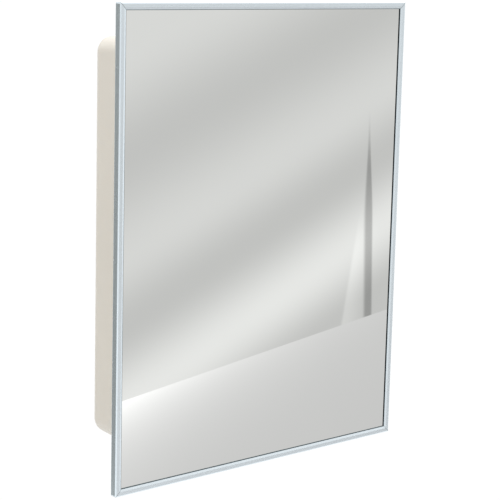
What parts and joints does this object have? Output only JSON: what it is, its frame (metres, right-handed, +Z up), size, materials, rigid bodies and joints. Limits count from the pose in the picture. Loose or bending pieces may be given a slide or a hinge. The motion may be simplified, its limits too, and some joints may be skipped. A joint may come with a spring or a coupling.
{
  "type": "medicine cabinet",
  "caption": "Recessed medicine cabinet: a moulded tub with lift-out shelves behind a framed mirror door on a continuous side hinge, held shut by a magnetic catch.",
  "frame": {"origin": "middle of the flange's rear face, which is the face of the wall", "axes": "+X to the right as seen from in front, +Y into the wall, +Z up"},
  "size_m": [0.4064, 0.1073, 0.508],
  "materials": {
    "tub_plastic": "satin",
    "shelf_plastic": "satin",
    "stainless": "satin",
    "hinge_steel": "satin",
    "zinc_fixings": "satin",
    "aluminium_rivets": "satin",
    "mirror": "polished",
    "board": "matte",
    "panel_paint": "satin",
    "catch_plastic": "satin",
    "ferrite": "matte",
    "pole_steel": "satin",
    "key_nylon": "matte",
    "rubber": "matte"
  },
  "bodies": {
    "cabinet": {"body_tub": "tub_plastic", "shelf_lower": "shelf_plastic", "shelf_upper": "shelf_plastic", "hinge_leaf_body": "hinge_steel", "hinge_pin": "hinge_steel", "hinge_rivets_body": "aluminium_rivets", "catch_housing": "catch_plastic", "catch_screws": "zinc_fixings", "bumper_pads": "rubber"},
    "door": {"frame_top": "stainless", "frame_bottom": "stainless", "frame_left": "stainless", "frame_right": "stainless", "corner_keys": "key_nylon", "glass_cushions": "rubber", "mirror_glass": "mirror", "mirror_backing": "board", "door_back_panel": "panel_paint", "hinge_leaf_door": "hinge_steel", "hinge_screws_door": "zinc_fixings", "strike_plate": "pole_steel", "strike_rivets": "aluminium_rivets"},
    "floating_magnet": {"catch_magnet": "ferrite", "catch_pole_plates": "pole_steel"}
  },
  "joints": [
    {"name": "door_hinge", "type": "hinge", "parent": "cabinet", "child": "door", "pos_m": [0.2007, -0.0048, 0], "axis": [0, 0, 1], "range_deg": [0, 100]},
    {"name": "magnet_float", "type": "slide", "parent": "cabinet", "child": "floating_magnet", "axis": [0, 1, 0], "range_m": [0, 0.0008]}
  ]
}
